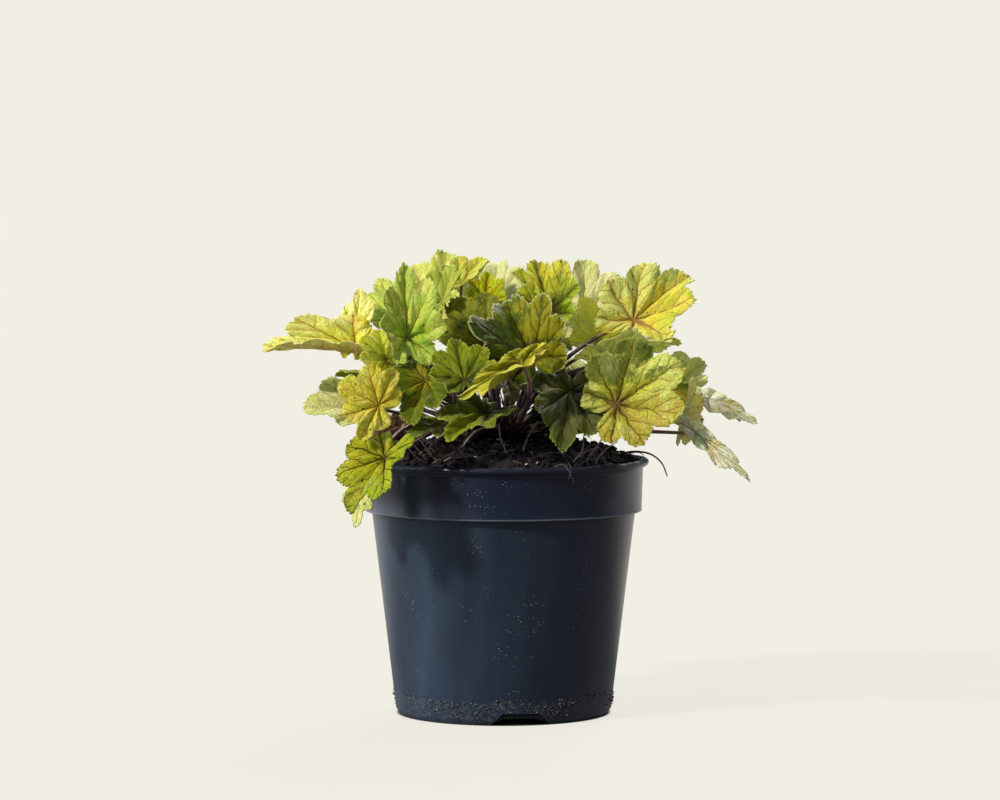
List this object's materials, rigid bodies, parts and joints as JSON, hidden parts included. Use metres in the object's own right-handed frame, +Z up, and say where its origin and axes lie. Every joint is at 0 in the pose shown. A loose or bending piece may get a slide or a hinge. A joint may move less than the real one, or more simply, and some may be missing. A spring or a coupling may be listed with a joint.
{
  "type": "potted heuchera plant",
  "caption": "Mound of rounded, lobed and scalloped leaf blades on slender stalks, rising from one crown in the soil of a round tapered nursery pot with a deep collar.",
  "frame": {"origin": "centre of the pot's foot pad, on the ground that the pot stands on", "axes": "+Z up along the pot's axis, -Y towards the side with the large centre leaf, +X to the right when looking along +Y"},
  "size_m": [0.218, 0.1749, 0.2057],
  "materials": {
    "pot": "satin",
    "soil": "matte",
    "stalks": "satin",
    "leaf_lime": "satin",
    "leaf_yellow": "satin",
    "leaf_green": "satin",
    "leaf_dark": "satin",
    "leaf_pale": "satin",
    "leaf_tan": "satin",
    "leaf_dry": "matte"
  },
  "bodies": {
    "root": {"pot": "pot", "soil": "soil", "crown_and_stalks": "stalks", "leaf_far_left": "leaf_yellow", "leaf_left_upright": "leaf_yellow", "leaf_upper_left": "leaf_lime", "leaf_back_left": "leaf_pale", "leaf_top_left": "leaf_pale", "leaf_upright_young": "leaf_lime", "leaf_top_curled": "leaf_lime", "leaf_top_pale": "leaf_pale", "leaf_red_young": "leaf_tan", "leaf_shaded_left": "leaf_dark", "leaf_centre_large": "leaf_green", "leaf_top_centre": "leaf_lime", "leaf_top_right_pale": "leaf_pale", "leaf_back_yellow": "leaf_yellow", "leaf_top_right": "leaf_yellow", "leaf_right_flat": "leaf_green", "leaf_right_large": "leaf_yellow", "leaf_front_dark": "leaf_dark", "leaf_red_veined": "leaf_tan", "leaf_lower_centre": "leaf_green", "leaf_centre_left": "leaf_green", "leaf_left_tan": "leaf_tan", "leaf_left_pale": "leaf_pale", "leaf_left_small": "leaf_lime", "leaf_droop_left": "leaf_yellow", "leaf_dry_brown": "leaf_dry", "leaf_low_left": "leaf_dark", "leaf_front_strip": "leaf_dark", "leaf_rim_front": "leaf_dark", "leaf_right_small": "leaf_green", "leaf_right_low": "leaf_green", "leaf_right_dry": "leaf_tan", "leaf_right_droop": "leaf_pale", "leaf_far_right": "leaf_pale", "leaf_back_1": "leaf_green", "leaf_back_2": "leaf_lime", "leaf_back_3": "leaf_yellow", "leaf_back_4": "leaf_lime", "leaf_back_5": "leaf_green", "leaf_back_6": "leaf_dark", "leaf_back_7": "leaf_dark", "leaf_back_8": "leaf_lime", "leaf_back_9": "leaf_lime", "leaf_back_10": "leaf_green", "leaf_back_11": "leaf_lime", "leaf_back_12": "leaf_green", "leaf_mid_left": "leaf_green", "leaf_mid_right": "leaf_dark", "leaf_mid_front": "leaf_dark", "leaf_droop_small": "leaf_pale", "leaf_front_folded": "leaf_yellow"}
  },
  "joints": []
}
